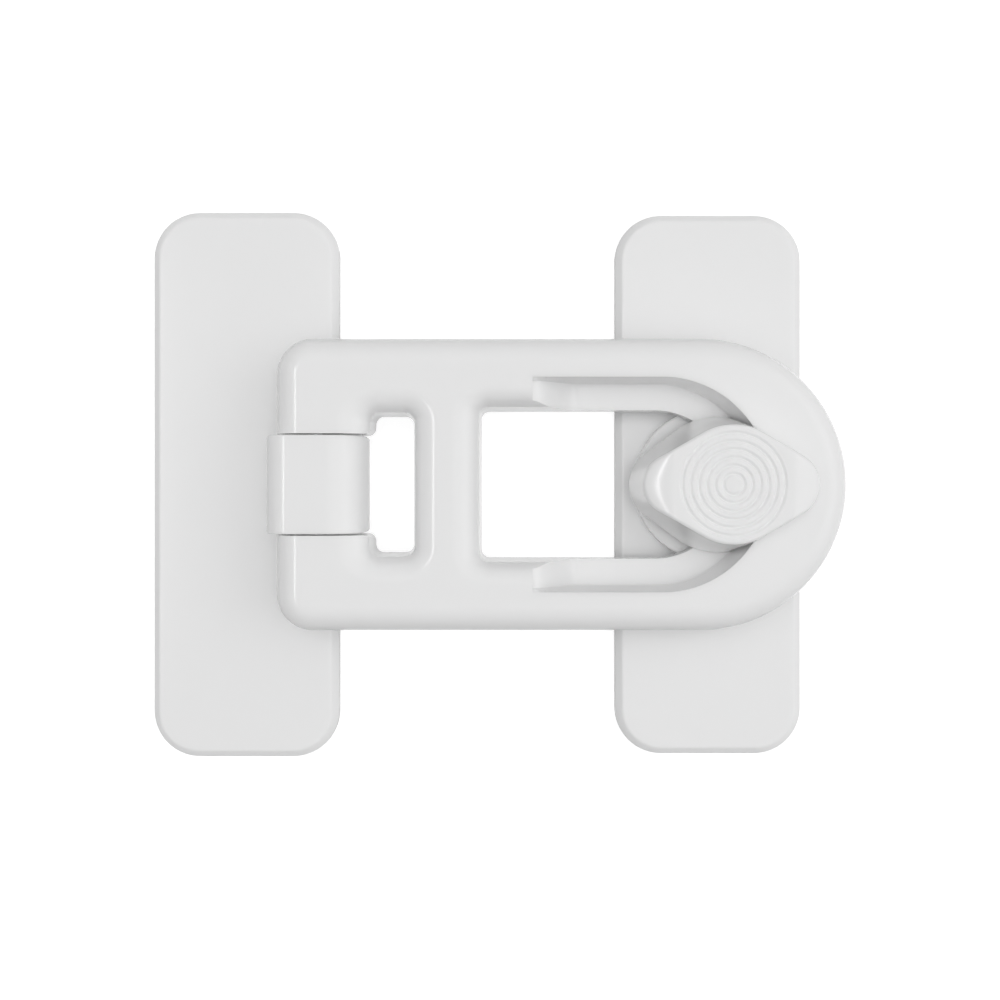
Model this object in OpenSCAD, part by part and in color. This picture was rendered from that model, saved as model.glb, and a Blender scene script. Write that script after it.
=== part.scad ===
// Child safety lock: a hinged arm reaches from one stick-on plate to another,
// and a spring-loaded slide button on the second plate holds its loop down.
// Origin: middle of the outline, on the surface the plates stick to. Z is up, X runs along the arm.

/* [Plates] */
// Width of the hinge plate, along the arm
hinge_plate_w = 31; // [28:0.5:36]
// Length of the hinge plate, across the arm
hinge_plate_l = 91; // [70:1:110]
// Width of the latch plate, along the arm
latch_plate_w = 31; // [28:0.5:40]
// Length of the latch plate, across the arm
latch_plate_l = 90; // [70:1:110]
// Thickness of both plates
plate_t = 2.2; // [1.8:0.1:4]
// Corner radius of both plates
plate_corner_r = 7.7; // [4:0.1:10]
// Width of the sloping edge round a plate
plate_slope_w = 1.3; // [0.5:0.1:2]
// Height of the sloping edge round a plate
plate_slope_h = 1; // [0.4:0.1:1.4]
// Thickness of the adhesive foam
tape_t = 0.8; // [0.4:0.1:2]
// How far the foam stays inside a plate's edge
tape_inset = 1; // [0.5:0.1:3]

/* [Arm] */
// How far the arm reaches past the latch centre
arm_past = 19.75; // [17:0.25:24]
// Distance from the hinge axis to the arm's square end
arm_tail = 6.4; // [5.5:0.1:6.6]
// Width of the arm
arm_w = 46; // [44:0.5:54]
// Thickness of the arm
arm_t = 9; // [8.6:0.1:11]
// Height of the arm's underside above the plates
arm_lift = 3; // [3:0.1:4]
// Radius of the arm's soft upper edges
arm_edge_r = 3.6; // [2.5:0.1:4]
// Radius of the arm's lower edges
arm_foot_r = 1; // [0.5:0.1:1.2]
// Radius of the two corners at the hinge, seen from above
arm_corner_r = 5.8; // [4:0.1:8]
// Thickness of the arm shell's side walls
shell_wall = 1.6; // [1.2:0.1:1.8]
// Thickness of the arm shell's roof
shell_roof = 2; // [1.2:0.1:3]
// Thickness of the arm's underside cover
cover_t = 1.4; // [1:0.1:2]
// Width of the step that the cover seats on
cover_seat = 0.8; // [0.5:0.1:0.9]

/* [Windows] */
// Length of the small window beside the knuckle
small_window_l = 6.2; // [5:0.1:8]
// Width of the small window, across the arm
small_window_w = 22; // [18:0.5:24]
// Width of the bar between the two windows
crossbar_w = 11; // [9:0.5:13]
// Width of the large window, across the arm
window_w = 23.7; // [23.2:0.1:26]
// How far the large window reaches past the latch centre
window_past = 2.1; // [1.5:0.1:3]
// Corner radius of both windows
window_corner_r = 1.3; // [0.8:0.1:2.5]
// Width of the finger recess round the large window
recess_w = 33.2; // [31:0.2:36]
// How far the recess reaches past the latch centre
recess_past = 6.9; // [6:0.1:8]
// Distance from the large window's straight end to the recess
recess_start = 8; // [6:0.5:12]
// Length of the ramps at the recess's two ends
ramp_l = 5.6; // [4:0.2:9]
// Depth of the recess at the top of its ramps
ramp_step = 1.3; // [0.5:0.1:3]
// Thickness of the ledge that the recess leaves
ledge_t = 2; // [1.6:0.1:3]

/* [Hinge] */
// Distance from the hinge axis in to the hinge plate's edge
hinge_setback = 1.95; // [1:0.05:4]
// Height of the hinge axis above the plate
hinge_rise = 7.2; // [7.1:0.1:9]
// Width of the knuckle, between the arm's ears
knuckle_w = 15.4; // [10:0.2:18]
// How far the knuckle reaches towards the window
knuckle_front = 7.9; // [7:0.1:9]
// How far the knuckle reaches the other way
knuckle_back = 7.95; // [6:0.05:10]
// Radius of the knuckle's nose, towards the window
knuckle_nose_r = 6; // [4:0.1:6]
// Radius of the knuckle's other upper edge
knuckle_edge_r = 3.2; // [2:0.1:4]
// Side gap between the knuckle and each ear
knuckle_gap = 0.2; // [0.15:0.05:0.6]
// Gap between the knuckle's nose and the small window
nose_gap = 0.73; // [0.4:0.01:2]
// Diameter of the hinge pin
hinge_pin_d = 3; // [2:0.1:4]

/* [Latch] */
// Distance from the hinge axis to the latch centre
latch_span = 63.5; // [58:0.5:72]
// Diameter of the round boss under the button
boss_d = 25.2; // [22:0.1:27]
// Gap between the boss and the arm's underside
boss_gap = 0.3; // [0.2:0.05:0.6]
// Width of the slide rail's neck
neck_w = 4.8; // [3:0.2:5]
// Width of the slide rail's head
rail_w = 8.4; // [7.4:0.1:8.8]
// Thickness of the slide rail's head
rail_t = 2.4; // [1.8:0.1:3]
// Diameter of the stop pin
stop_pin_d = 2; // [1.6:0.1:2.4]
// Diameter of the spring's wire
spring_wire_d = 0.35; // [0.3:0.05:0.4]
// Outer diameter of the spring
spring_d = 3.2; // [2.6:0.1:3.4]
// Number of turns of the spring
spring_turns = 6; // [5:1:7]

/* [Button] */
// Length of the button's top, tip to tip
button_l = 26.6; // [26:0.1:27]
// Width of the button's top
button_w = 17.9; // [17:0.1:19]
// Radius of the button's two tips, seen from above
button_tip_r = 5.6; // [4:0.1:7]
// Length of the button's foot
button_foot_l = 28.3; // [27.8:0.1:29]
// Width of the button's foot
button_foot_w = 21.8; // [20:0.1:22.4]
// Radius of the foot's two tips, seen from above
foot_tip_r = 6.9; // [5:0.1:8]
// How far the foot's middle lies past the button's
foot_shift = 0.2; // [0:0.1:0.5]
// Height of the button above the arm
button_rise = 5.6; // [5:0.1:8]
// How far the button's two tips drop below its middle
tip_drop = 0.9; // [0.4:0.1:2]
// Half length of the button's level middle
level_half = 9; // [7:0.1:10.5]
// Radius of the button's upper edge
button_edge_r = 0.8; // [0.4:0.1:1]
// Number of grip grooves
groove_count = 6; // [3:1:6]
// Distance from one grip groove to the next
groove_pitch = 1.22; // [1:0.01:1.25]
// Radius of the innermost grip groove
groove_first_r = 1.56; // [1:0.02:1.6]
// Depth of the grip grooves
groove_depth = 0.22; // [0.1:0.01:0.4]
// Width of the grip grooves
groove_w = 0.5; // [0.3:0.05:0.7]

/* [Screws] */
// Thread diameter of the cover screws
cover_screw_d = 2; // [1.6:0.1:2.2]
// Length of the cover screws
cover_screw_l = 6; // [4:0.5:6]
// Thread diameter of the button screws
button_screw_d = 1.4; // [1.2:0.1:1.6]
// Length of the button screws
button_screw_l = 5; // [4:0.1:5.2]

/* [Hidden] */

$fn = 64;
eps = 0.01;
past = 2;
seat_gap = 0.05;
slide_gap = 0.2;
run_gap = 0.3;
bore_gap = 0.05;
white = [0.9, 0.9, 0.905];
inner_white = [0.82, 0.83, 0.84];
foam_grey = [0.72, 0.73, 0.75];
steel = [0.7, 0.71, 0.73];

plate_top = tape_t + plate_t;
arm_reach = latch_span + arm_past;
hinge_x = (hinge_plate_w - hinge_setback - arm_reach) / 2;
hinge_z = plate_top + hinge_rise;
pin_blind = 2.5;
pin_sunk = 1.3;
hinge_pin_y1 = arm_w / 2 - pin_blind - slide_gap;
hinge_pin_l = hinge_pin_y1 + arm_w / 2 - pin_sunk;
hinge_plate_x = hinge_x + hinge_setback - hinge_plate_w / 2;
latch_x = hinge_x + latch_span;

arm_z0 = plate_top + arm_lift;
arm_z1 = arm_z0 + arm_t;
arm_x0 = hinge_x - arm_tail;
arm_x1 = hinge_x + arm_reach;
arm_half = arm_w / 2;
arm_centre_x = arm_x1 - arm_half;
ledge_z = arm_z0 + ledge_t;
ramp_z = arm_z1 - ramp_step;
ear_gap_half = knuckle_w / 2 + knuckle_gap;

small_x0 = hinge_x + knuckle_front + nose_gap;
small_x1 = small_x0 + small_window_l;
window_x0 = small_x1 + crossbar_w;
window_x1 = latch_x + window_past;
recess_x0 = window_x0 + recess_start;
recess_x1 = latch_x + recess_past;
recess_centre_x = recess_x1 - recess_w / 2;

cover_z = arm_z0 + cover_t;
hollow_z = arm_z1 - shell_roof;
hollow_back = 1.5;
hollow_x0 = small_x0 - hollow_back;
post_wall = 1.5;
post_d = cover_screw_d + 2 * post_wall;
head_ratio = 1.8;
screw_head_d = cover_screw_d * head_ratio;
screw_head_h = 0.8;
side_post_x = (small_x0 + small_x1) / 2;
side_post_y = (small_window_w / 2 + arm_half) / 2 + hollow_back / 4;
cover_screw_at = [[side_post_x, side_post_y], [side_post_x, -side_post_y],
                  [(small_x1 + window_x0) / 2, 0], [(recess_x1 + arm_x1) / 2, 0]];

foot_z = ledge_z + run_gap;
tip_z = arm_z1 + run_gap;
button_top = arm_z1 + button_rise;
button_half = button_l / 2;
foot_half = button_foot_l / 2;
end_gap = 0.6;
button_end_r = recess_w / 2 - end_gap;
tip_at = button_half - button_tip_r;
foot_tip_at = foot_half - foot_tip_r;
pad_edge = 0.1;
pad_r = min(groove_first_r + (groove_count - 1) * groove_pitch + groove_w / 2 + pad_edge,
            button_w / 2 - button_edge_r - seat_gap);

boss_top = arm_z0 - boss_gap;
rail_cover = 1.3;
rail_x0 = latch_x - button_half + rail_cover;
rail_x1 = latch_x + slide_gap;
head_lift = 1.3;
head_z0 = foot_z + head_lift;
head_z1 = head_z0 + rail_t;
slot_half = rail_w / 2 + slide_gap;
nose_half = slot_half + slide_gap / 2;

pin_cover = 0.5;
pin_x = rail_x0 + stop_pin_d / 2 + pin_cover;
pin_top = head_z1 + spring_d;
pin_flange = 1.5;
pin_head_d = stop_pin_d + 2 * pin_flange;
pin_head_h = 1.2;

tunnel_half = spring_d / 2 + run_gap;
cheek_t = 1.6;
carriage_half = slot_half + cheek_t;
carriage_back = 6.9;
carriage_x0 = latch_x - carriage_back;
carriage_top = pin_top + slide_gap;
carriage_end_r = button_end_r - slide_gap;
carriage_wall = 0.9;
spring_x0 = pin_x + stop_pin_d / 2;
spring_x1 = recess_centre_x + carriage_end_r - carriage_wall;
spring_z = head_z1 + slide_gap + spring_d / 2;
button_screw_y = tunnel_half + (carriage_half - tunnel_half) * 2 / 5;
button_head_d = button_screw_d * head_ratio;
button_head_h = 0.9;
button_head_z = head_z1 + run_gap;

// A plate's outline, drawn in from its edge by the inset
module plate_outline(w, l, inset) {
    r = plate_corner_r - inset;
    for (sx = [-1, 1], sy = [-1, 1])
        translate([sx * (w / 2 - plate_corner_r), sy * (l / 2 - plate_corner_r)]) circle(r);
    square([w - 2 * plate_corner_r, l - 2 * inset], center = true);
    square([w - 2 * inset, l - 2 * plate_corner_r], center = true);
}

// Points round a plate's edge, one quarter circle at each corner
function plate_ring(w, l, inset, z, steps = 8) = [
    for (q = [0:3], i = [0:steps])
        let (a = 90 * q + 90 * i / steps, sx = (q == 0 || q == 3) ? 1 : -1, sy = q < 2 ? 1 : -1)
        [sx * (w / 2 - plate_corner_r) + (plate_corner_r - inset) * cos(a),
         sy * (l / 2 - plate_corner_r) + (plate_corner_r - inset) * sin(a), z]];

// A closed solid through rings of points that all have the same count
module skin(rings) {
    n = len(rings[0]);
    last = len(rings) - 1;
    sides = [for (k = [0:last - 1], i = [0:n - 1]) let (j = (i + 1) % n)
             [k * n + i, (k + 1) * n + i, (k + 1) * n + j, k * n + j]];
    triangles = [for (f = sides) each [[f[0], f[1], f[2]], [f[0], f[2], f[3]]]];
    polyhedron(points = [for (ring = rings) each ring],
               faces = concat(triangles, [[for (i = [0:n - 1]) i]],
                              [[for (i = [n - 1:-1:0]) last * n + i]]));
}

// A plate with its sloping edge, standing on its foam
module plate(w, l) {
    translate([0, 0, tape_t]) linear_extrude(plate_t - plate_slope_h) plate_outline(w, l, 0);
    skin([plate_ring(w, l, 0, plate_top - plate_slope_h - eps),
          plate_ring(w, l, 0, plate_top - plate_slope_h),
          plate_ring(w, l, plate_slope_w, plate_top)]);
}

module hinge_tape() {
    color(foam_grey) translate([hinge_plate_x, 0, 0])
        linear_extrude(tape_t) plate_outline(hinge_plate_w, hinge_plate_l, tape_inset);
}

module latch_tape() {
    color(foam_grey) translate([latch_x, 0, 0])
        linear_extrude(tape_t) plate_outline(latch_plate_w, latch_plate_l, tape_inset);
}

// A cylinder along Y, centred on Y = 0
module rod_y(d, l) {
    rotate([90, 0, 0]) cylinder(d = d, h = l, center = true);
}

// The knuckle's side view: upright back, soft edge, level top and a round nose
module knuckle_profile() {
    nose_x = knuckle_front - knuckle_nose_r;
    nose_z = arm_z1 - knuckle_nose_r;
    nose_end = 53;
    back_x = knuckle_edge_r - knuckle_back;
    translate([nose_x, nose_z]) circle(knuckle_nose_r);
    translate([back_x, arm_z1 - knuckle_edge_r]) circle(knuckle_edge_r);
    polygon([[back_x, nose_z], [nose_x, nose_z], [nose_x, arm_z1], [back_x, arm_z1]]);
    polygon([[-knuckle_back, plate_top - eps], [hinge_setback - plate_slope_w, plate_top - eps],
             [nose_x + knuckle_nose_r * cos(nose_end), nose_z - knuckle_nose_r * sin(nose_end)],
             [nose_x, arm_z1 - knuckle_edge_r], [-knuckle_back, arm_z1 - knuckle_edge_r]]);
}

module knuckle() {
    r = 1;
    intersection() {
        rotate([90, 0, 0])
            linear_extrude(knuckle_w, center = true) knuckle_profile();
        linear_extrude(arm_z1 + past) {
            for (s = [-1, 1])
                translate([knuckle_front - r, s * (knuckle_w / 2 - r)]) circle(r);
            translate([-knuckle_back, -knuckle_w / 2])
                square([knuckle_back + knuckle_front - r, knuckle_w]);
            translate([0, r - knuckle_w / 2]) square([knuckle_front, knuckle_w - 2 * r]);
        }
    }
}

module hinge_plate() {
    color(white) difference() {
        union() {
            translate([hinge_plate_x, 0, 0]) plate(hinge_plate_w, hinge_plate_l);
            translate([hinge_x, 0, 0]) knuckle();
        }
        translate([hinge_x, 0, hinge_z]) rod_y(hinge_pin_d + 2 * bore_gap, knuckle_w + past);
    }
}

module hinge_pin() {
    chamfer = 0.4;
    color(steel) translate([hinge_x, hinge_pin_y1 - hinge_pin_l / 2, hinge_z]) {
        rod_y(hinge_pin_d, hinge_pin_l - 2 * chamfer);
        for (s = [-90, 90]) rotate([s, 0, 0]) translate([0, 0, hinge_pin_l / 2 - chamfer])
            cylinder(d1 = hinge_pin_d, d2 = hinge_pin_d - 2 * chamfer, h = chamfer);
    }
}

// The arm's outline from above, drawn in from its edge by the inset
module arm_outline(inset) {
    rc = arm_corner_r;
    for (s = [-1, 1]) translate([arm_x0 + rc, s * (arm_half - rc)]) circle(rc - inset);
    translate([arm_x0 + rc, inset - arm_half])
        square([arm_centre_x - arm_x0 - rc, arm_w - 2 * inset]);
    translate([arm_x0 + inset, rc - arm_half]) square([rc - inset, arm_w - 2 * rc]);
    translate([arm_centre_x, 0]) circle(arm_half - inset, $fn = 128);
}

// A quarter or half ring of round section, for an edge that goes round a corner
module round_edge(path_r, r, turn) {
    rotate_extrude(angle = turn, $fn = 96) intersection() {
        translate([path_r, 0]) circle(r);
        translate([0, -r]) square([path_r + r, 2 * r]);
    }
}

// The round edge that runs right round the arm at one height
module arm_edge(r, z) {
    rc = arm_corner_r;
    translate([0, 0, z]) {
        for (s = [-1, 1]) {
            translate([arm_x0 + rc, s * (arm_half - r), 0]) rotate([0, 90, 0])
                cylinder(r = r, h = arm_centre_x - arm_x0 - rc);
            translate([arm_x0 + rc, s * (arm_half - rc), 0]) rotate([0, 0, s > 0 ? 90 : 180])
                round_edge(rc - r, r, 90);
        }
        translate([arm_x0 + r, 0, 0]) rod_y(2 * r, arm_w - 2 * rc);
        translate([arm_centre_x, 0, 0]) rotate([0, 0, -90]) round_edge(arm_half - r, r, 180);
    }
}

// The arm before anything is cut from it
module arm_blank() {
    translate([0, 0, arm_z0 + arm_foot_r])
        linear_extrude(arm_t - arm_foot_r - arm_edge_r) arm_outline(0);
    translate([0, 0, arm_z0]) linear_extrude(arm_foot_r) arm_outline(arm_foot_r);
    translate([0, 0, arm_z1 - arm_edge_r]) linear_extrude(arm_edge_r) arm_outline(arm_edge_r);
    arm_edge(arm_edge_r, arm_z1 - arm_edge_r);
    arm_edge(arm_foot_r, arm_z0 + arm_foot_r);
}

// A rectangle with four round corners, grown by the outset
module window_outline(x0, x1, w, outset) {
    r = window_corner_r;
    half = w / 2;
    for (x = [x0 + r, x1 - r], s = [-1, 1]) translate([x, s * (half - r)]) circle(r + outset);
    translate([x0 + r, -half - outset]) square([x1 - x0 - 2 * r, w + 2 * outset]);
    translate([x0 - outset, r - half]) square([x1 - x0 + 2 * outset, w - 2 * r]);
}

// A window's cut, which opens out in a soft curve at the arm's top
module window_cut(x0, x1, w) {
    r = arm_edge_r;
    rc = window_corner_r;
    half = w / 2;
    translate([0, 0, arm_z0 - past]) linear_extrude(arm_t + 2 * past) window_outline(x0, x1, w, 0);
    translate([0, 0, arm_z1 - r]) difference() {
        linear_extrude(r + past) window_outline(x0, x1, w, r);
        for (s = [-1, 1]) {
            translate([x0 + rc, s * (half + r), 0]) rotate([0, 90, 0])
                cylinder(r = r, h = x1 - x0 - 2 * rc);
            translate([s < 0 ? x0 - r : x1 + r, 0, 0]) rod_y(2 * r, w - 2 * rc);
            translate([x0 + rc, s * (half - rc), 0]) rotate([0, 0, s > 0 ? 90 : 180])
                round_edge(rc + r, r, 90);
            translate([x1 - rc, s * (half - rc), 0]) rotate([0, 0, s > 0 ? 0 : -90])
                round_edge(rc + r, r, 90);
        }
    }
}

// A strip with a full round end, as the large window and the recess have
module strip_outline(x0, x1, w, outset) {
    translate([x0 - outset, -w / 2 - outset]) square([x1 - w / 2 - x0 + outset, w + 2 * outset]);
    translate([x1 - w / 2, 0]) circle(w / 2 + outset, $fn = 128);
}

// The finger recess: a level floor with a ramp at its start
module recess_cut() {
    intersection() {
        translate([0, 0, arm_z0]) linear_extrude(arm_t + past)
            strip_outline(recess_x0, recess_x1, recess_w, 0);
        rotate([90, 0, 0]) linear_extrude(recess_w + past, center = true)
            polygon([[recess_x0 - past, ramp_z], [recess_x0, ramp_z],
                     [recess_x0 + ramp_l, ledge_z], [recess_x1 + past, ledge_z],
                     [recess_x1 + past, arm_z1 + past], [recess_x0 - past, arm_z1 + past]]);
    }
}

// The part of the arm that is thick enough to be hollow, drawn in by the inset
module hollow_outline(inset) {
    difference() {
        arm_outline(inset);
        translate([arm_x0 - past, -arm_w]) square([hollow_x0 + inset - arm_x0 + past, 2 * arm_w]);
        window_outline(small_x0, small_x1, small_window_w, inset);
        strip_outline(window_x0, window_x1, window_w, inset);
        strip_outline(recess_x0, recess_x1, recess_w, inset);
    }
}

// Rounds the lower edge of the arm's square end, so that it clears the plate as it turns
module tail_relief() {
    r = arm_edge_r;
    translate([arm_x0 - past, -arm_half - past, arm_z0 - past]) difference() {
        cube([r + past, arm_w + 2 * past, r + past]);
        translate([r + past, arm_half + past, r + past]) rod_y(2 * r, arm_w + 4 * past);
    }
}

module arm_shell() {
    ear_bore = hinge_pin_d + 4 * bore_gap;
    color(white) difference() {
        union() {
            difference() {
                arm_blank();
                translate([0, 0, arm_z0 - past]) linear_extrude(cover_t + past)
                    hollow_outline(shell_wall);
                translate([0, 0, arm_z0]) linear_extrude(hollow_z - arm_z0)
                    hollow_outline(shell_wall + cover_seat);
            }
            for (p = cover_screw_at) translate([p.x, p.y, cover_z])
                cylinder(d = post_d, h = hollow_z - cover_z + eps);
        }
        tail_relief();
        translate([arm_x0 - past, -ear_gap_half, arm_z0 - past])
            cube([small_x0 - arm_x0 + past + window_corner_r, 2 * ear_gap_half, arm_t + 2 * past]);
        window_cut(small_x0, small_x1, small_window_w);
        window_cut(window_x0, recess_x0 + ramp_l, window_w);
        translate([0, 0, arm_z0 - past]) linear_extrude(arm_t + 2 * past)
            strip_outline(window_x0 + window_corner_r, window_x1, window_w, 0);
        recess_cut();
        translate([hinge_x, pin_blind / -2 - past, hinge_z])
            rod_y(ear_bore, arm_w + 2 * past - pin_blind);
        for (p = cover_screw_at) translate([p.x, p.y, cover_z - eps])
            cylinder(d = cover_screw_d + 2 * bore_gap, h = cover_screw_l - cover_t + run_gap);
    }
}

module arm_cover() {
    color(inner_white) difference() {
        translate([0, 0, arm_z0]) linear_extrude(cover_t - seat_gap)
            hollow_outline(shell_wall + seat_gap);
        for (p = cover_screw_at) translate([p.x, p.y, arm_z0 - past]) {
            cylinder(d = cover_screw_d + 2 * slide_gap, h = cover_t + 2 * past);
            cylinder(d = screw_head_d + 2 * slide_gap, h = screw_head_h + past);
        }
    }
}

// A pan-head screw that points up, with a cross in its head, which sits below z = 0
module screw(d, l, head_d, head_h) {
    cross_w = 0.22 * head_d;
    cylinder(d = d, h = l - head_h);
    difference() {
        translate([0, 0, -head_h]) cylinder(d = head_d, h = head_h);
        for (a = [0, 90]) rotate([0, 0, a])
            translate([-0.35 * head_d, -cross_w / 2, -head_h - past])
                cube([0.7 * head_d, cross_w, past + 0.6 * head_h]);
    }
}

module cover_screws() {
    color(steel) for (p = cover_screw_at) translate([p.x, p.y, arm_z0 + screw_head_h])
        screw(cover_screw_d, cover_screw_l, screw_head_d, screw_head_h);
}

// The slide rail from above: round at the button's nose, square at the other end
module rail_outline(w) {
    translate([rail_x0 + w / 2, 0]) circle(w / 2);
    translate([rail_x0 + w / 2, -w / 2]) square([rail_x1 - rail_x0 - w / 2, w]);
}

module latch_plate() {
    color(white) difference() {
        union() {
            translate([latch_x, 0, 0]) plate(latch_plate_w, latch_plate_l);
            translate([latch_x, 0, plate_top - eps])
                cylinder(d = boss_d, h = boss_top - plate_top + eps, $fn = 128);
            translate([0, 0, boss_top - eps])
                linear_extrude(head_z0 - boss_top + 2 * eps) rail_outline(neck_w);
            translate([0, 0, head_z0]) linear_extrude(rail_t) rail_outline(rail_w);
        }
        translate([pin_x, 0, 0]) {
            cylinder(d = stop_pin_d + 2 * bore_gap, h = head_z1 + past);
            cylinder(d = pin_head_d + 2 * slide_gap, h = tape_t + pin_head_h + seat_gap);
        }
    }
}

module stop_pin() {
    color(steel) translate([pin_x, 0, tape_t + seat_gap]) {
        cylinder(d = pin_head_d, h = pin_head_h);
        cylinder(d = stop_pin_d, h = pin_top - tape_t - seat_gap);
    }
}

// A point on the spring's centre line: closed turns at its ends, open ones between
function spring_point(t) = let (
        mean_r = (spring_d - spring_wire_d) / 2,
        wire = spring_wire_d * 1.1,
        run = spring_x1 - spring_x0 - 2 * seat_gap - spring_wire_d,
        turn = t * spring_turns,
        open_run = run - 2 * wire,
        x = turn < 1 ? wire * turn
            : turn > spring_turns - 1 ? run - wire * (spring_turns - turn)
            : wire + open_run * (turn - 1) / (spring_turns - 2))
    [spring_x0 + seat_gap + spring_wire_d / 2 + x,
     mean_r * cos(360 * turn), spring_z + mean_r * sin(360 * turn)];

// A ring of the spring's wire, square to its centre line
function spring_ring(t, sides) = let (
        step = 0.001,
        p = spring_point(t),
        q = spring_point(t + step) - spring_point(t - step),
        along = q / norm(q),
        out = [0, p.y, p.z - spring_z] / norm([0, p.y, p.z - spring_z]),
        side = cross(along, out))
    [for (i = [0:sides - 1]) let (a = 360 * i / sides)
     p + spring_wire_d / 2 * (cos(a) * side + sin(a) * cross(side, along))];

module return_spring() {
    sides = 6;
    rings = 16 * spring_turns;
    color(steel) skin([for (i = [0:rings]) spring_ring(i / rings, sides)]);
}

// The curved end that the button and its carriage share, cut to follow the recess
module end_cut(r, z0, z1) {
    translate([recess_centre_x, 0, z0]) difference() {
        translate([0, -recess_w, 0]) cube([recess_w + past, 2 * recess_w, z1 - z0]);
        translate([0, 0, -past]) cylinder(r = r, h = z1 - z0 + 2 * past, $fn = 128);
    }
}

module slide_carriage() {
    z0 = foot_z + seat_gap;
    long = recess_x1 - carriage_x0;
    color(inner_white) difference() {
        translate([carriage_x0, -carriage_half, z0])
            cube([long, 2 * carriage_half, carriage_top - z0]);
        end_cut(carriage_end_r, z0 - past, carriage_top + past);
        translate([carriage_x0 - past, -slot_half, head_z0 - slide_gap])
            cube([long + 2 * past, 2 * slot_half, rail_t + 2 * slide_gap]);
        translate([carriage_x0 - past, -neck_w / 2 - slide_gap, z0 - past])
            cube([long + 2 * past, neck_w + 2 * slide_gap, head_z0 - z0 + past]);
        translate([carriage_x0 - past, -tunnel_half, head_z1])
            cube([spring_x1 - carriage_x0 + past, 2 * tunnel_half, spring_d + past]);
        for (s = [-1, 1]) translate([latch_x, s * button_screw_y, head_z1]) {
            cylinder(d = button_screw_d + 2 * slide_gap, h = spring_d + past);
            cylinder(d = button_head_d + 2 * slide_gap,
                     h = button_head_z + button_head_h - head_z1 + seat_gap);
        }
    }
}

// Points along an arc round a centre
function arc_points(centre, r, a0, a1, steps) = [
    for (i = [0:steps]) let (a = a0 + (a1 - a0) * i / steps) centre + r * [cos(a), sin(a)]];

// Points between the last point of one list and the first of the next
function flank(from, to, steps = 2) = [
    for (i = [1:steps]) let (s = i / (steps + 1)) (1 - s) * from[len(from) - 1] + s * to[0]];

// The button's outline: a middle circle and two tip circles, with the straight lines that touch them
function eye_outline(at, mid_r, tip_r) = let (
        lean = asin((mid_r - tip_r) / at),
        right = arc_points([at, 0], tip_r, lean - 90, 90 - lean, 12),
        upper = arc_points([0, 0], mid_r, 90 - lean, 90 + lean, 8),
        left = arc_points([-at, 0], tip_r, 90 + lean, 270 - lean, 12),
        lower = arc_points([0, 0], mid_r, 270 - lean, 270 + lean, 8))
    concat(right, flank(right, upper), upper, flank(upper, left),
           left, flank(left, lower), lower, flank(lower, right));

// Height of the button's top at a distance from its middle, along the arm
function button_z(x) =
    button_top - tip_drop * pow(max(0, abs(x) - level_half) / (button_half - level_half), 1.5);

// One ring of the button, lowered from the top by the drop and moved a share of the way in
// to the round pad that holds the grooves
function button_ring(inset, drop, inward = 0) = [
    for (p = eye_outline(tip_at, button_w / 2 - inset, button_tip_r - inset))
        let (q = p + inward * (pad_r / norm(p) - 1) * p)
        [latch_x + q.x, q.y, button_z(q.x) - drop]];

module button_blank() {
    r = button_edge_r;
    foot = [for (p = eye_outline(foot_tip_at, button_foot_w / 2, foot_tip_r))
            [latch_x + foot_shift + p.x, p.y, foot_z]];
    rim = [for (a = [0:15:90]) button_ring(r * (1 - cos(a)), r * (1 - sin(a)))];
    top = [for (k = [1:3]) button_ring(r, 0, k / 3)];
    skin(concat([foot], rim, top));
}

module button() {
    color(white) difference() {
        button_blank();
        end_cut(button_end_r, foot_z - past, tip_z);
        translate([carriage_x0 - slide_gap, -carriage_half - seat_gap, foot_z - past])
            cube([recess_x1 - carriage_x0 + slide_gap, 2 * (carriage_half + seat_gap),
                  carriage_top + seat_gap - foot_z + past]);
        translate([0, 0, foot_z - past]) linear_extrude(head_z1 + slide_gap - foot_z + past) {
            translate([rail_x0 + rail_w / 2, 0]) circle(nose_half);
            translate([rail_x0 + rail_w / 2, -slot_half]) square([rail_w, 2 * slot_half]);
        }
        translate([0, 0, foot_z]) linear_extrude(carriage_top + seat_gap - foot_z) {
            translate([pin_x, 0]) circle(stop_pin_d / 2 + slide_gap);
            translate([pin_x, -stop_pin_d / 2 - slide_gap])
                square([carriage_x0 - pin_x + past, stop_pin_d + 2 * slide_gap]);
            translate([spring_x0, -tunnel_half])
                square([carriage_x0 - spring_x0 + past, 2 * tunnel_half]);
        }
        for (i = [0:groove_count - 1]) translate([latch_x, 0, button_top])
            rotate_extrude() translate([groove_first_r + i * groove_pitch, 0])
                polygon([[-groove_w / 2, past], [-groove_w / 2, 0], [0, -groove_depth],
                         [groove_w / 2, 0], [groove_w / 2, past]]);
        for (s = [-1, 1]) translate([latch_x, s * button_screw_y, carriage_top])
            cylinder(d = button_screw_d + 2 * bore_gap,
                     h = button_head_z + button_screw_l - carriage_top + slide_gap);
    }
}

module button_screws() {
    color(steel) for (s = [-1, 1])
        translate([latch_x, s * button_screw_y, button_head_z + button_head_h])
            screw(button_screw_d, button_screw_l, button_head_d, button_head_h);
}

hinge_plate();
hinge_tape();
hinge_pin();
arm_shell();
arm_cover();
cover_screws();
latch_plate();
latch_tape();
stop_pin();
return_spring();
slide_carriage();
button();
button_screws();
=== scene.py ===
"""Looks of a stick-on child safety lock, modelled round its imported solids.

All sizes in the classes are millimetres in the part's own frame, as its source has them.
"""

import logging
import math
from collections.abc import Callable
from dataclasses import dataclass, field
from enum import Enum

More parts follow.
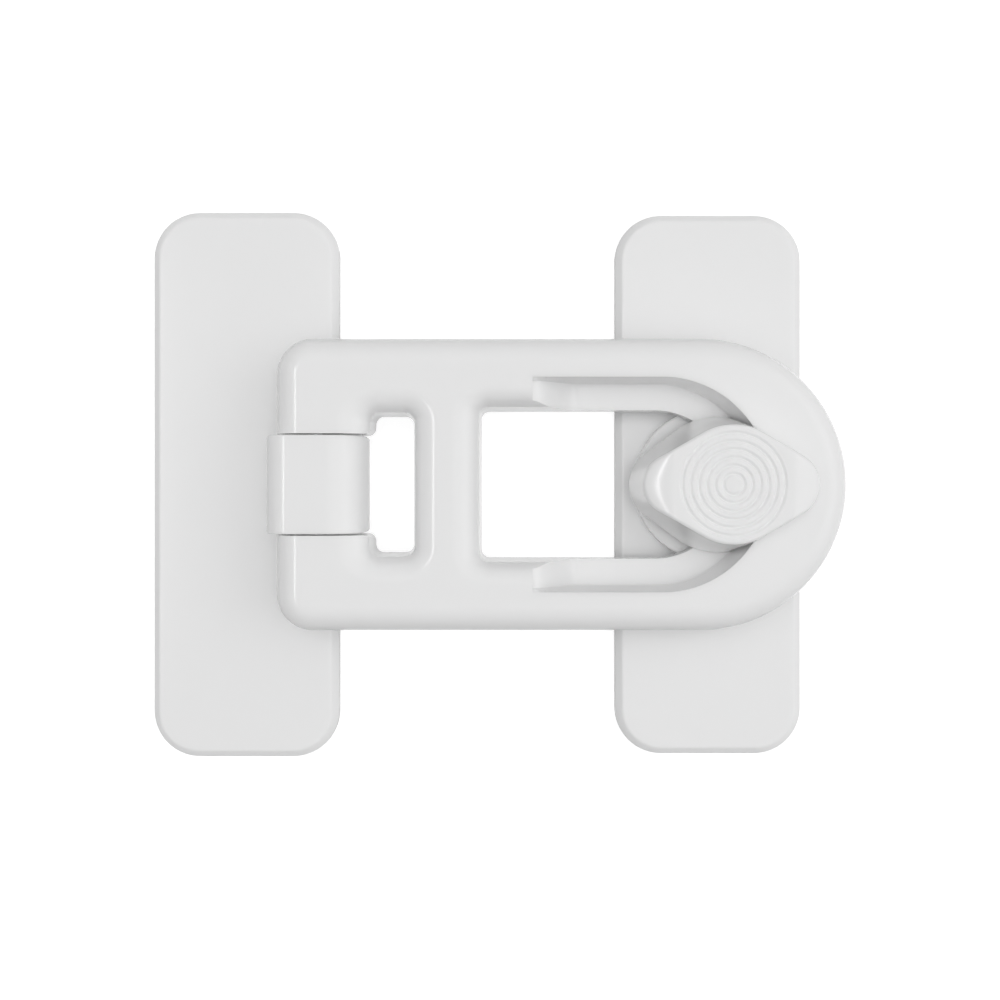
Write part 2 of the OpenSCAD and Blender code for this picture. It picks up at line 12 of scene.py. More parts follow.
import bmesh
import bpy
import numpy as np
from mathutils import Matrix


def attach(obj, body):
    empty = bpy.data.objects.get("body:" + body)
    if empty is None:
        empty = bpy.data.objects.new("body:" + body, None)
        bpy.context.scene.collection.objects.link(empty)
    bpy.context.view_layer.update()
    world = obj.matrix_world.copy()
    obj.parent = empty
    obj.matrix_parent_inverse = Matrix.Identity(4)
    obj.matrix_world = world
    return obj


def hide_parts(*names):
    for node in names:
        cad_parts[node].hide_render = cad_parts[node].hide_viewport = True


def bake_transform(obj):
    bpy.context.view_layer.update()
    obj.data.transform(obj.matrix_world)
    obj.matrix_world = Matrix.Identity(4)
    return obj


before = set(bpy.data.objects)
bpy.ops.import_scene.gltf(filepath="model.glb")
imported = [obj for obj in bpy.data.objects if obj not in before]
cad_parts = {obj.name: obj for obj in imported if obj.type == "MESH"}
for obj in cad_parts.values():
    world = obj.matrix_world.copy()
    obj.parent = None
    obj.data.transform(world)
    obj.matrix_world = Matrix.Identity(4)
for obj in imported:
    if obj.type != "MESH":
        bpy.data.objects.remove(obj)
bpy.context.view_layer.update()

MM = 0.001
LOG = logging.getLogger("safety_lock")

# Points nearer to each other than this, in millimetres, are one point.
WELD = 0.001
# How far a cutter goes past what it cuts, in millimetres.
PAST = 2.0
# A corner radius so small that it counts as sharp, in millimetres.
SHARP = 0.02
# Weight of the larger faces when a shaded corner is evened.
FACE_WEIGHT = 50
WHITE = (1.0, 1.0, 1.0, 1.0)


class Carve(Enum):
    """How one solid changes another."""

    CUT = "DIFFERENCE"
    JOIN = "UNION"
    MEET = "INTERSECT"


class Spread(Enum):
    """Which material a piece or node is finished in."""

    SHELL = "white_plastic"
    INNER = "inner_plastic"
    FOAM = "foam"
    STEEL = "steel"


def arc(centre: tuple[float, float], radii: tuple[float, float], turn: tuple[float, float],
        count: int = 24) -> np.ndarray:
    """Points along an elliptical arc: centre + (a cos t, b sin t).

    Args:
        centre: the arc's centre.
        radii: its two half axes.
        turn: its first and last angle, in degrees.
        count: the number of points.

    Returns:
        An array of count by 2.
    """
    t = np.radians(np.linspace(turn[0], turn[1], count))
    return np.stack([centre[0] + radii[0] * np.cos(t), centre[1] + radii[1] * np.sin(t)], axis=1)


def circle(centre: tuple[float, float], radius: float, count: int) -> np.ndarray:
    """A whole circle of evenly spaced points, with the first one not repeated."""
    return arc(centre, (radius, radius), (0, 360 * (1 - 1 / count)), count)


def lift(plan: np.ndarray, height: float | np.ndarray) -> np.ndarray:
    """Puts a flat ring at a height.

    Args:
        plan: the ring, n by 2.
        height: one height, or one for each point.

    Returns:
        The ring, n by 3.
    """
    return np.column_stack([plan, np.broadcast_to(height, len(plan))])


def stand(ring: np.ndarray, y: float) -> np.ndarray:
    """A ring of (x, z) points, stood up at a given y."""
    return np.column_stack([ring[:, 0], np.full(len(ring), y), ring[:, 1]])


def loft(rings: list[np.ndarray] | np.ndarray) -> tuple[np.ndarray, list]:
    """Joins rings of equal count with quads, and closes the first and last with one face each.

    Args:
        rings: m rings of n points each.

    Returns:
        The points, and the faces as lists of point numbers.
    """
    grid = np.asarray(rings, dtype=float)
    m, n = grid.shape[:2]
    number = np.arange(m * n).reshape(m, n)
    beside = np.roll(number, -1, axis=1)
    quads = np.stack([number[:-1], beside[:-1], beside[1:], number[1:]], axis=-1).reshape(-1, 4)
    return grid.reshape(-1, 3), quads.tolist() + [number[0][::-1].tolist(), number[-1].tolist()]


def make(name: str, points: np.ndarray, faces: list) -> bpy.types.Object:
    """Makes a closed mesh object from points in millimetres.

    Args:
        name: the piece's name.
        points: n by 3, in millimetres.
        faces: lists of point numbers.

    Returns:
        The object, at the origin, with its faces pointing outwards.
    """
    mesh = bpy.data.meshes.new(name)
    mesh.from_pydata((points * MM).tolist(), [], faces)
    sheet = bmesh.new()
    sheet.from_mesh(mesh)
    bmesh.ops.remove_doubles(sheet, verts=sheet.verts, dist=WELD * MM)
    bmesh.ops.recalc_face_normals(sheet, faces=sheet.faces)
    sheet.to_mesh(mesh)
    sheet.free()
    piece = bpy.data.objects.new(name, mesh)
    bpy.context.scene.collection.objects.link(piece)
    return piece


def carve(piece: bpy.types.Object, tools: list[bpy.types.Object], how: Carve) -> bpy.types.Object:
    """Cuts tools from a piece, or joins them to it, and removes the tools.

    Args:
        piece: the object that changes.
        tools: closed objects.
        how: cut, join or keep what both share.

    Returns:
        The same object with its new mesh.
    """
    for tool in tools:
        step = piece.modifiers.new(tool.name, "BOOLEAN")
        step.operation = how.value
        step.solver = "EXACT"
        step.object = tool
    seen = piece.evaluated_get(bpy.context.evaluated_depsgraph_get())
    mesh = bpy.data.meshes.new_from_object(seen)
    piece.modifiers.clear()
    old = piece.data
    piece.data = mesh
    bpy.data.meshes.remove(old)
    for tool in tools:
        bpy.data.meshes.remove(tool.data)
    return piece


def soften(piece: bpy.types.Object, sharp_deg: float = 32.0) -> bpy.types.Object:
    """Shades a piece smooth, but for edges that turn by more than an angle.

    Args:
        piece: the object.
        sharp_deg: the angle, in degrees.

    Returns:
        The same object.
    """
    piece.data.shade_smooth()
    piece.data.set_sharp_from_angle(angle=math.radians(sharp_deg))
    even = piece.modifiers.new("even_normals", "WEIGHTED_NORMAL")
    even.keep_sharp = True
    even.weight = FACE_WEIGHT
    return piece


def round_box(x: tuple[float, float], half: float, corner: float,
              out: tuple[float, float, float] = (0.0, 0.0, 0.0), count: int = 14) -> np.ndarray:
    """A rectangle with four round corners, grown by its own amount on each side.

    Args:
        x: its two ends.
        half: its half width along Y.
        corner: its corner radius.
        out: growth at the low-x end, the high-x end and the two sides.
        count: points in each corner.

    Returns:
        The ring, anticlockwise, n by 2.
    """
    low, high, side = out
    centres = [(x[1] - corner, half - corner, high, 0), (x[0] + corner, half - corner, low, 90),
               (x[0] + corner, corner - half, low, 180), (x[1] - corner, corner - half, high, 270)]
    return np.concatenate([arc((cx, cy), (corner + grow, corner + side), (a, a + 90), count)
                           for cx, cy, grow, a in centres])


def round_end(x: tuple[float, float], half: float, corner: float,
              out: tuple[float, float] = (0.0, 0.0), count: int = 20) -> np.ndarray:
    """A strip with a full round at its high-x end and two round corners at the other.

    Args:
        x: its two ends.
        half: its half width, which is also the radius of the round end.
        corner: the radius of the two corners.
        out: growth at the low-x end, and everywhere else.
        count: points in each corner, and a quarter of those in the round end.

    Returns:
        The ring, anticlockwise, n by 2.
    """
    low, side = out
    return np.concatenate([
        arc((x[1] - half, 0.0), (half + side, half + side), (-90, 90), 4 * count),
        arc((x[0] + corner, half - corner), (corner + low, corner + side), (90, 180), count),
        arc((x[0] + corner, corner - half), (corner + low, corner + side), (180, 270), count)])


def block(name: str, x: tuple[float, float], half: float, z: tuple[float, float],
          corner: float = SHARP) -> bpy.types.Object:
    """An upright cutting block.

    Args:
        name: its name.
        x: its two ends.
        half: its half width, to both sides of Y = 0.
        z: its lowest and highest height.
        corner: its corner radius.

    Returns:
        The object.
    """
    ring = round_box(x, half, corner, count=2 if corner == SHARP else 14)
    return make(name, *loft([lift(ring, z[0]), lift(ring, z[1])]))


def rod(name: str, centre: tuple[float, float], radius: float, span: tuple[float, float],
        upright: bool = False, count: int = 64) -> bpy.types.Object:
    """A round cutting rod.

    Args:
        name: its name.
        centre: (x, z) of a rod along Y, or (x, y) of an upright one.
        radius: its radius.
        span: its two ends.
        upright: whether it stands along Z.
        count: points round it.

    Returns:
        The object.
    """
    ring = circle(centre, radius, count)
    place = lift if upright else stand
    return make(name, *loft([place(ring, span[0]), place(ring, span[1])]))


def surface_grain() -> bpy.types.NodeTree:
    """The node group for a moulded or foamed surface: a fine noise for its height and a broad one
    for its colour and roughness.

    Returns:
        The group, with a height, a colour and a roughness that change over the surface.
    """
    group = bpy.data.node_groups.new("surface_grain", "ShaderNodeTree")
    face = group.interface
    for name, kind in (("Vector", "NodeSocketVector"), ("Colour", "NodeSocketColor"),
                       ("Shade", "NodeSocketColor"), ("Fine Scale", "NodeSocketFloat"),
                       ("Broad Scale", "NodeSocketFloat"), ("Roughness", "NodeSocketFloat"),
                       ("Variation", "NodeSocketFloat")):
        face.new_socket(name=name, in_out="INPUT", socket_type=kind)
    for name, kind in (("Colour", "NodeSocketColor"), ("Roughness", "NodeSocketFloat"),
                       ("Height", "NodeSocketFloat")):
        face.new_socket(name=name, in_out="OUTPUT", socket_type=kind)
    nodes, link = group.nodes, group.links.new
    given, gives = nodes.new("NodeGroupInput"), nodes.new("NodeGroupOutput")
    fine, broad = nodes.new("ShaderNodeTexNoise"), nodes.new("ShaderNodeTexNoise")
    fine_detail, broad_detail, middle = 4.0, 2.0, 0.5
    for noise, scale, detail in ((fine, "Fine Scale", fine_detail),
                                 (broad, "Broad Scale", broad_detail)):
        noise.inputs["Detail"].default_value = detail
        link(given.outputs["Vector"], noise.inputs["Vector"])
        link(given.outputs[scale], noise.inputs["Scale"])
    mix = nodes.new("ShaderNodeMix")
    mix.data_type = "RGBA"
    link(broad.outputs["Fac"], mix.inputs["Factor"])
    link(given.outputs["Colour"], mix.inputs["A"])
    link(given.outputs["Shade"], mix.inputs["B"])
    centred = nodes.new("ShaderNodeMath")
    centred.operation = "SUBTRACT"
    centred.inputs[1].default_value = middle
    link(broad.outputs["Fac"], centred.inputs[0])
    rough = nodes.new("ShaderNodeMath")
    rough.operation = "MULTIPLY_ADD"
    link(centred.outputs[0], rough.inputs[0])
    link(given.outputs["Variation"], rough.inputs[1])
    link(given.outputs["Roughness"], rough.inputs[2])
    link(mix.outputs["Result"], gives.inputs["Colour"])
    link(rough.outputs[0], gives.inputs["Roughness"])
    link(fine.outputs["Fac"], gives.inputs["Height"])
    return group


@dataclass(frozen=True)
class Finish:
    """One finish: two near colours, a roughness and how it varies, a grain and a shine.

    The scales are noise waves in a metre, and the bump is the grain's height.
    """

    spread: Spread
    colour: tuple[float, float, float]
    shade: tuple[float, float, float]
    roughness: float
    variation: float
    fine_scale: float
    broad_scale: float
    bump_mm: float
    metallic: float = 0.0
    specular: float = 0.5
    subsurface: float = 0.0
    scatter: tuple[float, float, float] = (1.5, 1.5, 1.5)

    def build(self, grain: bpy.types.NodeTree) -> bpy.types.Material:
        """Makes the material.

        Args:
            grain: the shared group of grain nodes.

        Returns:
            The material.
        """
        material = bpy.data.materials.new(self.spread.value)
        material.use_nodes = True
        nodes, link = material.node_tree.nodes, material.node_tree.links.new
        shader = next(n for n in nodes if n.type == "BSDF_PRINCIPLED")
        place, skin = nodes.new("ShaderNodeTexCoord"), nodes.new("ShaderNodeGroup")
        skin.node_tree = grain
        link(place.outputs["Object"], skin.inputs["Vector"])
        for socket, value in (("Colour", (*self.colour, 1.0)), ("Shade", (*self.shade, 1.0)),
                              ("Fine Scale", self.fine_scale), ("Broad Scale", self.broad_scale),
                              ("Roughness", self.roughness), ("Variation", self.variation)):
            skin.inputs[socket].default_value = value
        bump = nodes.new("ShaderNodeBump")
        bump.inputs["Distance"].default_value = self.bump_mm * MM
        link(skin.outputs["Height"], bump.inputs["Height"])
        link(skin.outputs["Colour"], shader.inputs["Base Color"])
        link(skin.outputs["Roughness"], shader.inputs["Roughness"])
        link(bump.outputs["Normal"], shader.inputs["Normal"])
        shader.inputs["Metallic"].default_value = self.metallic
        shader.inputs["Specular IOR Level"].default_value = self.specular
        if self.subsurface:
            shader.inputs["Subsurface Weight"].default_value = self.subsurface
            shader.inputs["Subsurface Radius"].default_value = self.scatter
            shader.inputs["Subsurface Scale"].default_value = MM
        return material


FINISHES = (
    Finish(Spread.SHELL, colour=(0.96, 0.96, 0.96), shade=(0.952, 0.952, 0.953), roughness=0.17,
           variation=0.03, fine_scale=5200.0, broad_scale=45.0, bump_mm=0.0005, specular=0.38,
           subsurface=0.3),
    Finish(Spread.INNER, colour=(0.64, 0.65, 0.66), shade=(0.61, 0.62, 0.63), roughness=0.55,
           variation=0.1, fine_scale=4200.0, broad_scale=60.0, bump_mm=0.008),
    Finish(Spread.FOAM, colour=(0.5, 0.51, 0.53), shade=(0.42, 0.43, 0.45), roughness=0.9,
           variation=0.1, fine_scale=2200.0, broad_scale=900.0, bump_mm=0.05, specular=0.2),
    Finish(Spread.STEEL, colour=(0.56, 0.57, 0.58), shade=(0.5, 0.5, 0.51), roughness=0.3,
           variation=0.15, fine_scale=6000.0, broad_scale=300.0, bump_mm=0.003, metallic=1.0),
)


@dataclass
class Dresser:
    """Hands out the finishes, and finishes pieces and carried-over nodes."""

    materials: dict[Spread, bpy.types.Material] = field(default_factory=dict)

    def __post_init__(self) -> None:
        """Builds each finish once."""
        grain = surface_grain()
        for finish in FINISHES:
            self.materials[finish.spread] = finish.build(grain)

    def piece(self, obj: bpy.types.Object, spread: Spread, body: str, node: str) -> None:
        """Finishes a new piece, lets it ride on a body, and lets it stand for a node.

        Args:
            obj: the piece.
            spread: its finish.
            body: the body that it rides on.
            node: the node that it stands for.
        """
        obj.data.materials.clear()
        obj.data.materials.append(self.materials[spread])
        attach(obj, body)
        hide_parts(node)
        LOG.info("%s: %d faces", obj.name, len(obj.data.polygons))

    def node(self, name: str, spread: Spread) -> None:
        """Gives a carried-over node its finish.

        Args:
            name: the node.
            spread: its finish.
        """
        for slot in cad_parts[name].material_slots:
            slot.material = self.materials[spread]
        LOG.info("%s: carried over", name)


@dataclass
class PlateShape:
    """A stick-on plate: a rounded rectangle with a sloping edge, and the foam under it."""

    x: tuple[float, float]
    half: float
    corner: float = 7.7
    foam: float = 0.8
    top: float = 3.0
    slope: tuple[float, float] = (1.3, 1.0)
    foam_inset: float = 1.0
    foam_bulge: float = 0.12
    corner_points: int = 28
    foot_curve: tuple = ((0.3, 0.0), (0.08, 0.1), (0.0, 0.3))
    low_curve: tuple = ((0.0, -0.25), (0.04, -0.05), (0.16, 0.1))
    high_curve: tuple = ((-0.25, -0.14), (-0.05, -0.03), (0.25, 0.0))

    def profile(self) -> np.ndarray:
        """The plate's edge from below, as (inset, height): a soft foot, an upright side, and a
        slope that starts and ends in a small curve. The curves are offsets from where the foam
        ends, where the slope starts and where it ends."""
        width, drop = self.slope
        shoulder = self.top - drop
        return np.concatenate([np.add(self.foot_curve, (0.0, self.foam)),
                               np.add(self.low_curve, (0.0, shoulder)),
                               [(0.5 * width, shoulder + 0.5 * drop)],
                               np.add(self.high_curve, (width, self.top))])

    def rings(self, profile: np.ndarray) -> list[np.ndarray]:
        """The plate's outline, drawn in and lifted as each (inset, height) says."""
        return [lift(round_box(self.x, self.half, self.corner, (-d, -d, -d), self.corner_points), z)
                for d, z in profile]

    def plate(self, name: str) -> bpy.types.Object:
        """The plate.

        Args:
            name: the piece's name.

        Returns:
            The object.
        """
        return make(name, *loft(self.rings(self.profile())))

    def tape(self, name: str) -> bpy.types.Object:
        """The foam, which bulges a little at its cut side.

        Args:
            name: the piece's name.

        Returns:
            The object.
        """
        height = np.linspace(0.0, self.foam, 7)
        inset = self.foam_inset + self.foam_bulge * (2 * height / self.foam - 1) ** 2
        return soften(make(name, *loft(self.rings(np.stack([inset, height], axis=1)))), 50.0)


@dataclass
class HingeSide:
    """The hinge plate with its knuckle, and its foam."""

    shape: PlateShape = field(default_factory=lambda: PlateShape((-56.15, -25.15), 45.5))
    axis: tuple[float, float] = (-27.1, 10.2)
    half: float = 7.7
    back: float = -7.95
    front: float = 7.9
    nose: float = 6.0
    edge: float = 3.8
    top: float = 15.0
    foot_x: float = 0.65
    bore: float = 1.55
    end_round: float = 0.3
    plan_round: float = 1.0
    nose_end_deg: float = -53.13
    sunk: float = 0.6
    bore_reach: float = 10.0

    def knuckle_ring(self, inset: float) -> np.ndarray:
        """The knuckle's side view, drawn in: upright back, soft edge, level top, round nose.

        Args:
            inset: how far it is drawn in.

        Returns:
            The ring of (x, z) points.
        """
        cx, back, foot_z = self.axis[0], self.back + inset, self.shape.top - self.sunk
        nose_x, nose_z = self.front - self.nose, self.top - self.nose
        r, q = self.edge - inset, self.nose - inset
        ring = np.concatenate([
            [(back, foot_z)],
            arc((self.back + self.edge, self.top - self.edge), (r, r), (180, 90), 22),
            arc((nose_x, nose_z), (q, q), (90, self.nose_end_deg), 48),
            [(self.foot_x - inset, self.shape.top), (self.foot_x - inset, foot_z)]])
        return ring + np.array([cx, 0.0])

    def build(self, dresser: Dresser) -> None:
        """Builds and finishes the plate and the foam.

        Args:
            dresser: hands out the finishes.
        """
        t = np.radians(np.linspace(0, 90, 7))
        ends = np.stack([self.end_round * (1 - np.sin(t)),
                         self.half - self.end_round * (1 - np.cos(t))], axis=1)
        rings = [stand(self.knuckle_ring(d), -y) for d, y in ends]
        rings += [stand(self.knuckle_ring(d), y) for d, y in ends[::-1]]
        knuckle = make("knuckle", *loft(rings))
        span = (self.axis[0] + self.back, self.axis[0] + self.front)
        carve(knuckle, [block("knuckle_plan", span, self.half, (1.0, self.top + PAST),
                              self.plan_round)], Carve.MEET)
        plate = carve(self.shape.plate("hinge_plate_body"), [knuckle], Carve.JOIN)
        carve(plate, [rod("pin_bore", self.axis, self.bore,
                          (-self.bore_reach, self.bore_reach))], Carve.CUT)
        dresser.piece(soften(plate), Spread.SHELL, "base", "hinge_plate")
        dresser.piece(self.shape.tape("hinge_foam"), Spread.FOAM, "base", "hinge_tape")


@dataclass
class LatchSide:
    """The latch plate with its boss and slide rail, its foam and its spring."""

    shape: PlateShape = field(default_factory=lambda: PlateShape((20.9, 51.9), 45.0))
    centre: float = 36.4
    boss: tuple[float, float] = (12.6, 5.7)
    boss_edge: float = 0.4
    sunk: float = 0.5
    rail_x: tuple[float, float] = (24.25, 36.6)
    neck: float = 2.4
    lap: float = 0.3
    head: tuple[float, float, float] = (4.2, 9.6, 12.0)
    pin: tuple[float, float, float] = (25.75, 1.05, 2.7)
    pin_sink: float = 2.05
    spring_x: tuple[float, float] = (26.8, 41.55)
    spring_z: float = 13.8
    spring_r: float = 1.4
    wire: float = 0.175
    turns: int = 6
    turn_points: int = 40
    wire_points: int = 12
    end_gap: float = 1.1

    def boss_body(self) -> bpy.types.Object:
        """The round boss, with a small radius round its top."""
        radius, top = self.boss
        t = np.radians(np.linspace(0, 90, 8))
        profile = [(radius, self.shape.top - self.sunk)]
        profile += [(radius - self.boss_edge * (1 - math.cos(a)),
                     top - self.boss_edge * (1 - math.sin(a))) for a in t]
        rings = [lift(circle((self.centre, 0), r, 160), z) for r, z in profile]
        return make("boss", *loft(rings))

    def rail_body(self, name: str, half: float, z: tuple[float, float]) -> bpy.types.Object:
        """One height of the slide rail: round at the low-x end, square at the other.

        Args:
            name: its name.
            half: its half width.
            z: its lowest and highest height.

        Returns:
            The object.
        """
        low, high = self.rail_x
        centre = low + half
        ring = np.concatenate([arc((centre, 0), (half, half), (90, 270), 40),
                               [(high, -half), (high, half)]])
        return make(name, *loft([lift(ring, z[0]), lift(ring, z[1])]))

    def spring(self) -> bpy.types.Object:
        """The spring: a round wire carried along a helix, whose end turns nearly touch."""
        t = np.linspace(0, self.turns, self.turn_points * self.turns + 1)
        pitch = 2 * self.wire * self.end_gap
        run = self.spring_x[1] - self.spring_x[0] - 2 * self.wire
        x = np.interp(t, [0, 1, self.turns - 1, self.turns], [0, pitch, run - pitch, run])
        angle = 2 * math.pi * t
        out = np.stack([np.zeros_like(t), np.cos(angle), np.sin(angle)], axis=1)
        path = self.spring_r * out
        path[:, 0] += x + self.spring_x[0] + self.wire
        path[:, 2] += self.spring_z
        along = np.gradient(path, axis=0)
        along /= np.linalg.norm(along, axis=1, keepdims=True)
        side = np.cross(along, out)
        side /= np.linalg.norm(side, axis=1, keepdims=True)
        up = np.cross(side, along)
        a = np.linspace(0, 2 * math.pi, self.wire_points, endpoint=False)[None, :, None]
        rings = path[:, None] + self.wire * (np.cos(a) * side[:, None] + np.sin(a) * up[:, None])
        return soften(make("return_coil", *loft(rings)), 60.0)

    def build(self, dresser: Dresser) -> None:
        """Builds and finishes the plate, the foam and the spring.

        Args:
            dresser: hands out the finishes.
        """
        half, low, high = self.head
        plate = self.shape.plate("latch_plate_body")
        carve(plate, [self.boss_body(),
                      self.rail_body("rail_neck", self.neck,
                                     (self.boss[1] - self.sunk, low + self.lap)),
                      self.rail_body("rail_head", half, (low, high))], Carve.JOIN)
        x, bore, sunk = self.pin
        carve(plate, [rod("stop_bore", (x, 0), bore, (0, high + PAST), upright=True),
                      rod("stop_sink", (x, 0), sunk, (0, self.pin_sink), upright=True)], Carve.CUT)
        dresser.piece(soften(plate), Spread.SHELL, "base", "latch_plate")
        dresser.piece(self.shape.tape("latch_foam"), Spread.FOAM, "base", "latch_tape")
        coil = self.spring()
        coil.data.materials.append(dresser.materials[Spread.STEEL])
        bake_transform(coil)
        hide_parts("return_spring")
        LOG.info("%s: %d faces", coil.name, len(coil.data.polygons))


@dataclass
class Arm:
    """The loop arm: a soft slab with two windows, a finger recess and a seat for its cover."""

    x: tuple[float, float] = (-33.5, 56.15)
    half: float = 23.0
    z: tuple[float, float] = (6.0, 15.0)
    corner: float = 5.8
    edge: float = 4.1
    foot: float = 1.0
    axis: tuple[float, float] = (-27.1, 10.2)
    slot_half: float = 7.9
    small_x: tuple[float, float] = (-18.47, -12.27)
    small_half: float = 11.0
    small_flare: tuple[float, float, float] = (5.2, 4.6, 4.1)
    window_x: tuple[float, float] = (-1.27, 38.5)
    window_half: float = 11.85
    window_flare: tuple[float, float] = (4.6, 3.6)
    window_corner: float = 1.3
    flare_drop: float = 3.6
    small_lean: tuple[float, float, float] = (0.05, 0.088, 0.05)
    window_lean: tuple[float, float] = (0.05, 0.05)
    ear_corner: float = 1.3
    recess_x: tuple[float, float] = (6.73, 43.3)
    recess_half: float = 16.6
    recess_floor: float = 8.0
    ramp: tuple[float, float] = (7.6, 13.9)
    draft: float = 0.35
    recess_edge: float = 0.3
    cover_wall: float = 1.6
    cover_top: float = 7.4
    cover_below: float = 1.0
    hollow_x: float = -19.97
    bore: float = 1.6
    bore_wall: float = 2.5
    over: float = 3.0
    skim: float = 0.003
    floor_curve: tuple = ((0.0, 0.6), (0.15, 0.18), (0.6, 0.0))
    edge_points: int = 17
    foot_points: int = 7
    recess_stations: int = 60

    def outline(self, inset: float) -> np.ndarray:
        """The arm from above, drawn in by the inset."""
        return round_end(self.x, self.half, self.corner, (-inset, -inset), 26)

    def blank(self) -> bpy.types.Object:
        """The slab before anything is cut: a quarter circle at its lower and upper edges."""
        low, high = self.z
        t = np.radians(np.linspace(0, 90, self.foot_points))
        foot = np.stack([self.foot * (1 - np.sin(t)), low + self.foot * (1 - np.cos(t))], axis=1)
        t = np.radians(np.linspace(0, 90, self.edge_points))
        edge = np.stack([self.edge * (1 - np.cos(t)), high - self.edge * (1 - np.sin(t))], axis=1)
        return make("arm_body", *loft([lift(self.outline(d), z)
                                       for d, z in np.concatenate([foot, edge])]))

    def flared(self, name: str, ring: Callable, flare: tuple[float, ...],
               slant: tuple[float, ...]) -> bpy.types.Object:
        """A window's cutter: walls that lean out, and a quarter ellipse at the top.

        Args:
            name: its name.
            ring: draws the window's ring, given its growth on each side.
            flare: the growth at the top on each side.
            slant: how far each wall leans out for its height.

        Returns:
            The object.
        """
        low, high = self.z
        wide = np.asarray(flare)
        t = np.radians(np.linspace(0, 90, self.edge_points))
        lean = np.asarray(slant) * (high - self.flare_drop - low)
        rings = [lift(ring(tuple(0 * wide)), z) for z in (low - PAST, low)]
        rings += [lift(ring(tuple(lean + (wide - lean) * (1 - math.cos(a)))),
                       high + self.skim - self.flare_drop * (1 - math.sin(a))) for a in t]
        rings.append(lift(ring(tuple(wide)), high + self.over))
        return make(name, *loft(rings))

    def floor_at(self, x: np.ndarray) -> np.ndarray:
        """The recess's floor height along x: a ramp that eases in and out, then level."""
        length, start = self.ramp
        share = np.clip((x - self.recess_x[0]) / length, 0, 1)
        ease = share * share * (3 - 2 * share)
        return start + (self.recess_floor - start) * ease

    def recess(self) -> bpy.types.Object:
        """The recess's cutter. Stations run along x and round the end; at each, the section goes
        down one wall, over the floor and up the other wall."""
        low, high = self.recess_x
        centre = high - self.recess_half
        t = np.radians(np.linspace(90, 0, 13))
        further, above = np.transpose(self.floor_curve)
        upper = self.z[1] - np.concatenate([[-self.over], self.recess_edge * (1 - np.sin(t))])
        radius = self.recess_half + np.concatenate([[self.recess_edge], self.recess_edge * np.cos(t),
                                                    -self.draft - further])
        straight = np.linspace(low, centre, self.recess_stations)[:-1]
        turn = np.radians(np.linspace(0, 90, self.recess_stations))
        x = np.concatenate([np.repeat(straight[:, None], len(radius), axis=1),
                            centre + np.outer(np.sin(turn), radius)])
        y = np.concatenate([np.repeat(radius[None], len(straight), axis=0),
                            np.outer(np.cos(turn), radius)])
        floor = self.floor_at(x)
        z = np.concatenate([np.broadcast_to(upper, (len(x), len(upper))),
                            floor[:, len(upper):] + above], axis=1)
        half = np.stack([x, y, np.maximum(z, floor)], axis=-1)
        across = np.linspace(0.9, -0.9, 9)[None, :, None] * np.array([0.0, 1.0, 0.0])
        middle = half[:, -1:, :] * np.array([1.0, 0.0, 1.0]) + across * half[:, -1:, 1:2]
        section = np.concatenate([half, middle, half[:, ::-1] * np.array([1.0, -1.0, 1.0])], axis=1)
        return make("recess_tool", *loft(section))

    def slot(self, z: tuple[float, float]) -> bpy.types.Object:
        """The cutter of the knuckle's slot, which rounds the ears' corners at the small window.

        Args:
            z: its lowest and highest height.

        Returns:
            The object.
        """
        end, half, r = self.small_x[0], self.slot_half, self.ear_corner
        upper = np.concatenate([[(end + r, half + r)], arc((end - r, half + r), (r, r), (0, -90), 16),
                                [(self.x[0] - self.over, half)]])
        ring = np.concatenate([upper, upper[::-1] * (1, -1)])
        return make("slot_tool", *loft([lift(ring, v) for v in z]))

    def relief(self) -> bpy.types.Object:
        """Rounds the lower edge at the hinge, so that the arm clears the plate as it turns."""
        x, low, r, reach = self.x[0], self.z[0], self.edge, self.half + self.over
        ring = np.concatenate([[(x - PAST, low - PAST), (x + r, low - PAST)],
                               arc((x + r, low + r), (r, r), (270, 180), 18),
                               [(x - PAST, low + r)]])
        return make("relief_tool", *loft([stand(ring, -reach), stand(ring, reach)]))

    def cover_seat(self) -> bpy.types.Object:
        """The hollow in the underside that the cover sits in."""
        wall, below = self.cover_wall, self.cover_below
        span = (self.z[0] - below, self.cover_top)
        seat = make("cover_seat", *loft([lift(self.outline(wall), z) for z in span]))
        tall = (span[0] - below, span[1] + below)
        spaces = [
            block("seat_end", (self.x[0] - PAST, self.hollow_x + wall), self.half + self.over, tall),
            make("seat_small", *loft([lift(round_box(self.small_x, self.small_half,
                                                     self.window_corner, (wall,) * 3), z)
                                      for z in tall])),
            make("seat_window", *loft([lift(round_end(self.window_x, self.window_half, SHARP,
                                                      (wall, wall)), z) for z in tall])),
            make("seat_recess", *loft([lift(round_end(self.recess_x, self.recess_half, SHARP,
                                                      (wall, wall)), z) for z in tall]))]
        return carve(seat, spaces, Carve.CUT)

    def build(self, dresser: Dresser) -> None:
        """Builds and finishes the arm.

        Args:
            dresser: hands out the finishes.
        """
        low, high = self.z[0] - PAST, self.z[1] + self.over
        small = self.flared("small_tool", lambda out: round_box(
            self.small_x, self.small_half, self.window_corner, out), self.small_flare,
            self.small_lean)
        large = self.flared("window_tool", lambda out: round_end(
            self.window_x, self.window_half, self.window_corner, out), self.window_flare,
            self.window_lean)
        slot = self.slot((low, high))
        bore = rod("bore_tool", self.axis, self.bore,
                   (-self.half - PAST, self.half - self.bore_wall))
        arm = carve(self.blank(), [self.relief(), slot, small, large, self.recess(), bore,
                                   self.cover_seat()], Carve.CUT)
        dresser.piece(soften(arm), Spread.SHELL, "arm", "arm_shell")


